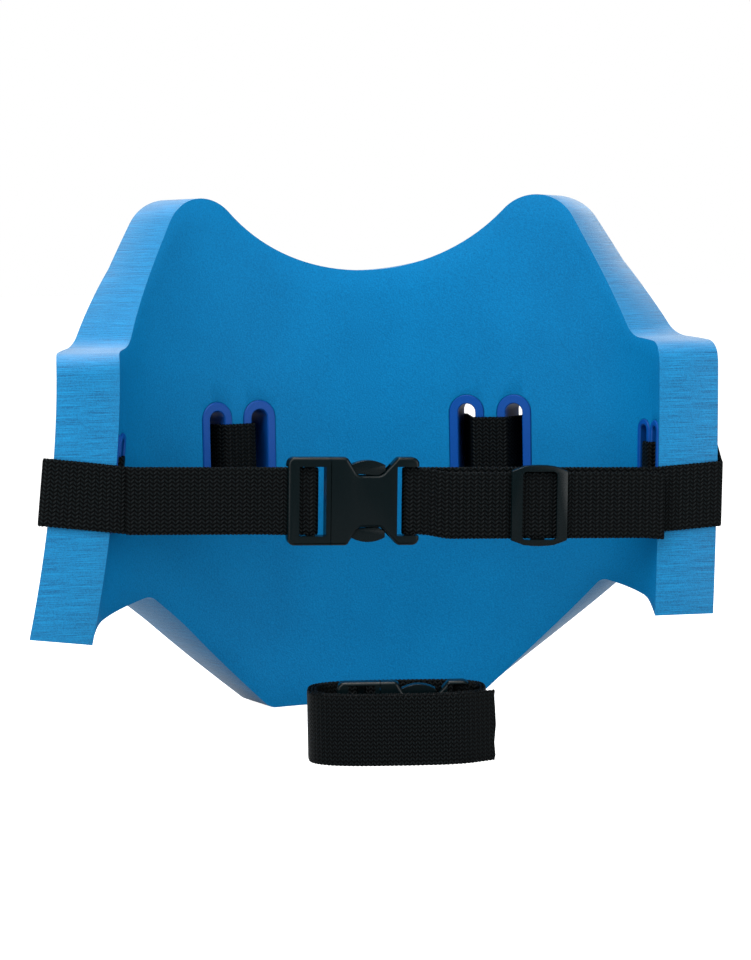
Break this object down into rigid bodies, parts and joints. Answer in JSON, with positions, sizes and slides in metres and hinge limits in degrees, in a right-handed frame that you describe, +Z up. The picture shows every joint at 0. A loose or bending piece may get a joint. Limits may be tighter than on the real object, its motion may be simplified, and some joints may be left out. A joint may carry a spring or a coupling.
{
  "type": "flotation belt",
  "caption": "Bent foam flotation belt for the waist, with slotted webbing, a side-release buckle, a strap slider and a rolled extension strap.",
  "frame": {"origin": "middle of the float's inner back face, at the height of the middle slots' centres", "axes": "+X across the wearer, to the right seen from the open front; +Y out of the back of the float; +Z up"},
  "size_m": [0.4021, 0.2547, 0.3055],
  "materials": {
    "foam": "matte closed-cell foam",
    "liner": "satin",
    "webbing": "woven, herringbone",
    "buckle_plastic": "fine texture"
  },
  "bodies": {
    "belt": {"foam_float": "foam", "slot_liner_1": "liner", "slot_liner_2": "liner", "slot_liner_3": "liner", "slot_liner_4": "liner", "slot_liner_5": "liner", "slot_liner_6": "liner", "slot_liner_7": "liner", "slot_liner_8": "liner", "strap_main": "webbing", "strap_right": "webbing", "buckle_socket": "buckle_plastic"},
    "plug_half": {"buckle_plug": "buckle_plastic", "strap_left": "webbing"},
    "release_upper": {"buckle_release_upper": "buckle_plastic"},
    "release_lower": {"buckle_release_lower": "buckle_plastic"},
    "slider": {"strap_slider": "buckle_plastic"},
    "roll": {"extension_strap": "webbing", "extension_buckle_socket": "buckle_plastic", "extension_buckle_plug": "buckle_plastic"},
    "extension_release_upper": {"extension_buckle_release_upper": "buckle_plastic"},
    "extension_release_lower": {"extension_buckle_release_lower": "buckle_plastic"}
  },
  "joints": [
    {"name": "buckle_release", "type": "slide", "parent": "belt", "child": "plug_half", "axis": [-0.9996, 0, 0.029], "range_m": [0, 0.034], "deforming": ["strap_left"]},
    {"name": "pinch_upper", "type": "hinge", "parent": "plug_half", "child": "release_upper", "pos_m": [-0.03484, -0.10644, -0.00548], "axis": [0, 1, 0], "range_deg": [0, 6], "stiffness_Nm_per_rad": 0.8},
    {"name": "pinch_lower", "type": "hinge", "parent": "plug_half", "child": "release_lower", "pos_m": [-0.03573, -0.10644, -0.03647], "axis": [0, -1, 0], "range_deg": [0, 6], "stiffness_Nm_per_rad": 0.8},
    {"name": "slider_travel", "type": "slide", "parent": "belt", "child": "slider", "axis": [0.9996, 0, -0.029], "range_m": [-0.034, 0.045]},
    {"name": "roll_lift", "type": "slide", "parent": "belt", "child": "roll", "axis": [0, 0, 1], "range_m": [0, 0.1]},
    {"name": "extension_pinch_upper", "type": "hinge", "parent": "roll", "child": "extension_release_upper", "pos_m": [-0.02254, -0.19202, -0.1205], "axis": [0.1564, 0.9877, 0], "range_deg": [0, 6], "stiffness_Nm_per_rad": 0.8},
    {"name": "extension_pinch_lower", "type": "hinge", "parent": "roll", "child": "extension_release_lower", "pos_m": [-0.02254, -0.19202, -0.1441], "axis": [-0.1564, -0.9877, 0], "range_deg": [0, 6], "stiffness_Nm_per_rad": 0.8}
  ]
}
